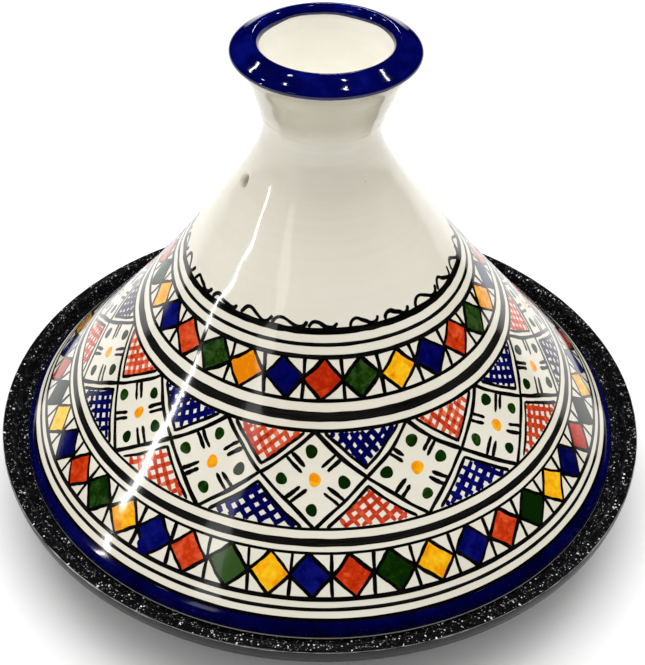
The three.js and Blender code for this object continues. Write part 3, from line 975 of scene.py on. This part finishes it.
def pan_material():
    """Black non-stick coating with fine white and grey specks."""
    n = Nodes("granite_coating")
    base = n.ramp(n.noise(260, 3), [(0.35, (0.0008, 0.0009, 0.0011)), (0.7, (0.0026, 0.0027, 0.0033))])
    far = n.noise(55, 2)
    v1 = n.math("MULTIPLY_ADD", n.noise(900, 1), 0.22, n.voronoi(620))
    k1 = n.ramp(v1, [(0.14, (0.24, 0.25, 0.27)), (0.21, (0, 0, 0))])
    v2 = n.voronoi(1150)
    k2 = n.ramp(v2, [(0.10, (0.040, 0.042, 0.048)), (0.20, (0, 0, 0))])
    patchy = n.ramp(far, [(0.40, (0.25, 0.25, 0.25)), (0.62, (1, 1, 1))])
    c = n.mix(1.0, base, n.mix(1.0, k1, patchy, "MULTIPLY"), "ADD")
    c = n.mix(1.0, c, k2, "ADD")
    n.set(Base_Color=c, Metallic=0.0, Roughness=n.math("MULTIPLY_ADD", n.noise(500, 2), 0.22, 0.26), IOR=1.45, Specular_IOR_Level=0.28)
    n.bump(n.noise(900, 2), 0.35, 0.00008)
    return n.m


def wall_material():
    """Satin dark grey lacquer on the turned outside wall and underside."""
    n = Nodes("outside_lacquer")
    x, y, z = n.xyz()
    lines_ = n.noise(1.0, 2, 0.6, vector=n.mapping((14, 14, 1500)))
    c = n.ramp(lines_, [(0.30, (0.0075, 0.0078, 0.0070)), (0.55, (0.0110, 0.0113, 0.0100)), (0.75, (0.0160, 0.0163, 0.0148))])
    c = n.mix(0.5, c, n.ramp(n.noise(30, 3), [(0.35, (0.72, 0.72, 0.72)), (0.7, (1.15, 1.15, 1.15))]), "MULTIPLY")
    n.set(Base_Color=c, Metallic=0.0, Roughness=n.math("MULTIPLY_ADD", n.noise(200, 2), 0.16, 0.34), IOR=1.45, Specular_IOR_Level=0.28)
    n.bump(lines_, 0.25, 0.00005)
    return n.m


M_PAN, M_WALL = pan_material(), wall_material()
Vp, Fp = lathe_mesh(pan_prof, 288)
pan = new_object("pan_casting", Vp, Fp)
pan.data.materials.append(M_PAN)
pan.data.materials.append(M_WALL)
idx = []
for p in pan.data.polygons:
    c = p.center * 1000
    r = math.hypot(c.x, c.y)
    outside = (r > 159.55 and c.z < LIP - 0.35) or (c.z < UP + 0.6 and r > 106 and p.normal.z < 0.35 and (r > 143 or p.normal.dot(Vector((c.x, c.y, 0)).normalized()) > 0)) or (c.z < 3.1)
    idx.append(1 if outside else 0)
pan.data.polygons.foreach_set("material_index", idx)
sharpen(pan, 40)
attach(pan, "base")
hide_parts("base_pan")


# Chips of white and grey pigment in the coating: low closed grains.
def grains():
    g = np.random.default_rng(77)
    L = pan_prof
    seg = np.hypot(*np.diff(L, axis=0).T)
    dirs = np.diff(L, axis=0) / np.maximum(seg, 1e-9)[:, None]
    mid = (L[1:] + L[:-1]) / 2
    nrm = np.c_[dirs[:, 1], -dirs[:, 0]]
    coated = (mid[:, 1] > 6.9) & ~((mid[:, 0] > 159.4)) & (nrm[:, 1] > -0.2) & ((mid[:, 1] > UP + 0.9) | (nrm[:, 0] < 0.5))
    coated &= ~((nrm[:, 0] > 0.3) & (mid[:, 1] < LIP - 1.0))
    area = seg * mid[:, 0] * 2 * math.pi
    dens = np.where(mid[:, 0] > 139, 0.36, 0.055) * coated
    cum = np.cumsum(area * dens)
    total = int(cum[-1])
    V, F, shade = [], [], []
    for q, t, u in zip(np.searchsorted(cum, g.uniform(0, cum[-1], total)), g.uniform(0, 2 * math.pi, total), g.uniform(0, 1, total)):
        q = min(q, len(mid) - 1)
        r, z = L[q] + (L[q + 1] - L[q]) * u
        n2 = nrm[q]
        rad = np.array([math.sin(t), -math.cos(t), 0])
        tan = np.array([math.cos(t), math.sin(t), 0])
        n3 = rad * n2[0] + np.array([0, 0, n2[1]])
        m3 = rad * dirs[q][0] + np.array([0, 0, dirs[q][1]])
        c = rad * r + np.array([0, 0, z])
        size = min(0.17 + g.exponential(0.15), 0.85)
        k = 6
        a = np.arange(k) * 2 * math.pi / k + g.uniform(0, 6)
        rr_ = size * g.uniform(0.75, 1.15, k)
        b = len(V)
        for j in range(k):
            V.append(c + tan * rr_[j] * math.cos(a[j]) * g.uniform(0.9, 1.15) + m3 * rr_[j] * math.sin(a[j]) - n3 * 0.03)
        V.append(c + n3 * 0.045)
        F += [(b + j, b + (j + 1) % k, b + k) for j in range(k)] + [tuple(b + j for j in range(k))[::-1]]
        shade += [float(g.uniform(0, 1))] * (k + 1)
    o = new_object("coating_specks", np.array(V), F, False)
    at = o.data.attributes.new("tint", "FLOAT", "POINT")
    at.data.foreach_set("value", np.array(shade, np.float32))
    n = Nodes("speck_pigment")
    c = n.ramp(n.attribute("tint"), [(0.0, (0.10, 0.105, 0.115)), (0.4, (0.36, 0.365, 0.38)), (0.7, (0.80, 0.81, 0.83)), (1.0, (0.94, 0.94, 0.95))])
    c = n.mix(0.4, c, n.ramp(n.noise(1400, 2), [(0.3, (0.6, 0.6, 0.6)), (0.7, (1, 1, 1))]), "MULTIPLY")
    n.set(Base_Color=c, Metallic=0.0, Roughness=n.math("MULTIPLY_ADD", n.noise(700, 1), 0.2, 0.3))
    o.data.materials.append(n.m)
    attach(o, "base")
    return o


grains()


# Bare metal worn through along the lip's outer edge.
def worn_edge():
    n_t = 900
    a = np.arange(n_t) * 2 * math.pi / n_t
    g = np.random.default_rng(5)
    w = 0.42 + sum(g.uniform(0.02, 0.11) * np.sin(int(g.integers(2, 90)) * a + g.uniform(0, 6.28)) for _ in range(9))
    w = np.clip(w, 0.10, 0.85)
    V, F = [], []
    # Round the edge from the top of the wall onto the lip's flat.
    arc = [(159.995, LIP - 0.75), (159.93, LIP - 0.50), (159.80, LIP - 0.28), (159.58, LIP - 0.12), (159.30, LIP - 0.035)]
    arc = np.array([(160.0 - 0.005, LIP - 0.95)] + arc[1:])
    s = np.r_[0, np.cumsum(np.hypot(*np.diff(arc, axis=0).T))]
    d = np.gradient(arc, axis=0)
    d /= np.linalg.norm(d, axis=1)[:, None]
    nn = np.c_[d[:, 1], -d[:, 0]]
    m_ = 6
    for i, t in enumerate(a):
        c0 = s[-1] * 0.55
        q = np.linspace(c0 - w[i] / 2, c0 + w[i] / 2, m_ // 2)
        q = np.clip(q, 0, s[-1])
        pr, pz = np.interp(q, s, arc[:, 0]), np.interp(q, s, arc[:, 1])
        nr, nz = np.interp(q, s, nn[:, 0]), np.interp(q, s, nn[:, 1])
        up_ = [(r_ + e * x, z_ + f * x) for r_, z_, e, f, x in zip(pr, pz, nr, nz, (-0.02, 0.03, -0.02))]
        dn = [(r_ - e * 0.12, z_ - f * 0.12) for r_, z_, e, f in zip(pr, pz, nr, nz)][::-1]
        for r_, z_ in up_ + dn:
            V.append((min(r_, 159.999) * math.sin(t), -min(r_, 159.999) * math.cos(t), min(z_, LIP - 0.005)))
    for i in range(n_t):
        j = (i + 1) % n_t
        F += [(i * m_ + k, j * m_ + k, j * m_ + (k + 1) % m_, i * m_ + (k + 1) % m_) for k in range(m_)]
    o = new_object("lip_worn_edge", np.array(V), F)
    n = Nodes("bare_aluminium")
    c = n.ramp(n.noise(240, 3), [(0.35, (0.33, 0.33, 0.34)), (0.65, (0.72, 0.72, 0.73))])
    n.set(Base_Color=c, Metallic=0.9, Roughness=n.math("MULTIPLY_ADD", n.noise(500, 2), 0.2, 0.22))
    n.bump(n.noise(1500, 1), 0.2, 0.00004)
    o.data.materials.append(n.m)
    sharpen(o, 70)
    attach(o, "base")
    return o


worn_edge()


# --------------------------------------------------------------- induction disc
def disc():
    prof = [(0, 0)]
    r = 8.0
    while r < 104.5:                       # shallow turned grooves
        prof += [(r, 0), (r + 0.35, 0.10), (r + 0.9, 0.10), (r + 1.25, 0)]
        r += 4.0
    prof += [(105.4, 0), (105.9, 0.35), (106.0, 0.8), (106.0, 2.6), (60, 2.6), (0, 2.6)]
    Vd, Fd = lathe_mesh(np.array(prof), 192)
    o = new_object("induction_plate", Vd, Fd)
    n = Nodes("turned_steel")
    x, y, z = n.xyz()
    rad = n.math("SQRT", n.math("ADD", n.math("MULTIPLY", x, x), n.math("MULTIPLY", y, y)))
    v = n.t.nodes.new("ShaderNodeCombineXYZ")
    n.put(v, 0, n.math("MULTIPLY", rad, 2600))
    n.put(v, 1, n.math("MULTIPLY", n.math("ARCTAN2", y, x), 3.0))
    turned = n.noise(1.0, 3, 0.6, vector=v.outputs[0])
    c = n.ramp(turned, [(0.3, (0.36, 0.36, 0.37)), (0.7, (0.62, 0.62, 0.63))])
    n.set(Base_Color=c, Metallic=1.0, Roughness=n.math("MULTIPLY_ADD", turned, 0.2, 0.22))
    n.bump(turned, 0.3, 0.00003)
    o.data.materials.append(n.m)
    sharpen(o, 30)
    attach(o, "base")
    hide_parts("induction_disc")


disc()

# --------------------------------------------------------- floor, light, camera
bpy.ops.mesh.primitive_plane_add(size=12, location=(0, 0, -0.0002))
floor = bpy.context.object
floor.name = "floor"
fm = bpy.data.materials.new("floor_paper")
fm.use_nodes = True
fb = fm.node_tree.nodes["Principled BSDF"]
fb.inputs["Base Color"].default_value = (0.93, 0.93, 0.93, 1)
fb.inputs["Roughness"].default_value = 0.9
fb.inputs["Specular IOR Level"].default_value = 0.1
floor.data.materials.append(fm)
floor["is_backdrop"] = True

world = bpy.data.worlds.new("studio")
scene.world = world
world.use_nodes = True
world.node_tree.nodes["Background"].inputs[0].default_value = (1.0, 0.995, 0.985, 1)
world.node_tree.nodes["Background"].inputs[1].default_value = 0.34
world.cycles_visibility.glossy = False


def area(name, direction, distance, size, power, target=(0, 0, 0.12), glossy=True):
    """A rectangular studio light aimed at target from the given direction."""
    d = bpy.data.lights.new(name, "AREA")
    d.shape = "RECTANGLE"
    d.size, d.size_y = size
    d.energy = power
    o = bpy.data.objects.new(name, d)
    scene.collection.objects.link(o)
    t = Vector(target)
    o.location = t + Vector(direction).normalized() * distance
    o.rotation_euler = (t - o.location).to_track_quat("-Z", "Y").to_euler()
    o.visible_glossy = glossy
    return o


# Big soft boxes give the even light and, being diffused, leave no reflection.
area("soft_overhead", (0.0, 0.1, 1.0), 2.4, (2.6, 2.6), 62, glossy=False)
area("soft_front", (0.0, -0.75, 0.85), 2.6, (2.2, 1.2), 8, glossy=False)
area("soft_left", (-1.0, 0.0, 0.55), 2.6, (1.4, 1.2), 7, glossy=False)
area("soft_right", (1.0, 0.0, 0.55), 2.6, (1.4, 1.2), 7, glossy=False)
area("soft_back", (0.0, 1.0, 0.6), 2.6, (1.6, 1.2), 6, glossy=False)
# Small bright lamps give the crisp highlights in the glaze.
area("lamp_left", (-0.93, -0.19, 0.309), 2.0, (0.065, 0.30), 2.2, target=(-0.05, -0.05, 0.15))
area("lamp_front_left", (-0.56, -0.67, 0.48), 2.2, (0.34, 0.30), 0.5, target=(-0.02, -0.045, 0.16))
for i, (dx, dy, dz, w, h, p) in enumerate((
        (-0.55, 0.48, 0.68, 0.26, 0.05, 1.1), (-0.54, 0.28, 0.80, 0.14, 0.05, 0.6), (-0.32, 0.24, 0.92, 0.16, 0.05, 0.7),
        (0.17, 0.13, 0.98, 0.15, 0.05, 0.7), (0.47, 0.38, 0.80, 0.34, 0.05, 1.3), (0.01, 0.87, 0.49, 0.08, 0.05, 0.4))):
    area(f"ceiling_lamp_{i}", (dx, dy, dz), 2.2, (w, h), p, target=(0, 0, 0.245))

cam_data = bpy.data.cameras.new("camera")
cam = bpy.data.objects.new("camera", cam_data)
scene.collection.objects.link(cam)
scene.camera = cam
cam_data.sensor_width = 36
cam_data.lens = 76.61
yaw, pitch, roll_ = math.radians(-0.061), math.radians(39.34), math.radians(1.063)
fwd = Vector((math.sin(yaw) * math.cos(pitch), math.cos(yaw) * math.cos(pitch), -math.sin(pitch)))
right = Vector((math.cos(yaw), -math.sin(yaw), 0))
upv = right.cross(fwd)
r2 = right * math.cos(roll_) + upv * math.sin(roll_)
u2 = -right * math.sin(roll_) + upv * math.cos(roll_)
M = Matrix((r2, u2, -fwd)).transposed().to_4x4()
M.translation = Vector((0.0009, -0.537965, 0.493977 + 0.034))
cam.matrix_world = M
cam_data.clip_start, cam_data.clip_end = 0.05, 50

scene.view_settings.view_transform = "Standard"
scene.view_settings.look = "None"
scene.view_settings.exposure = 0.0

lo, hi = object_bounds()
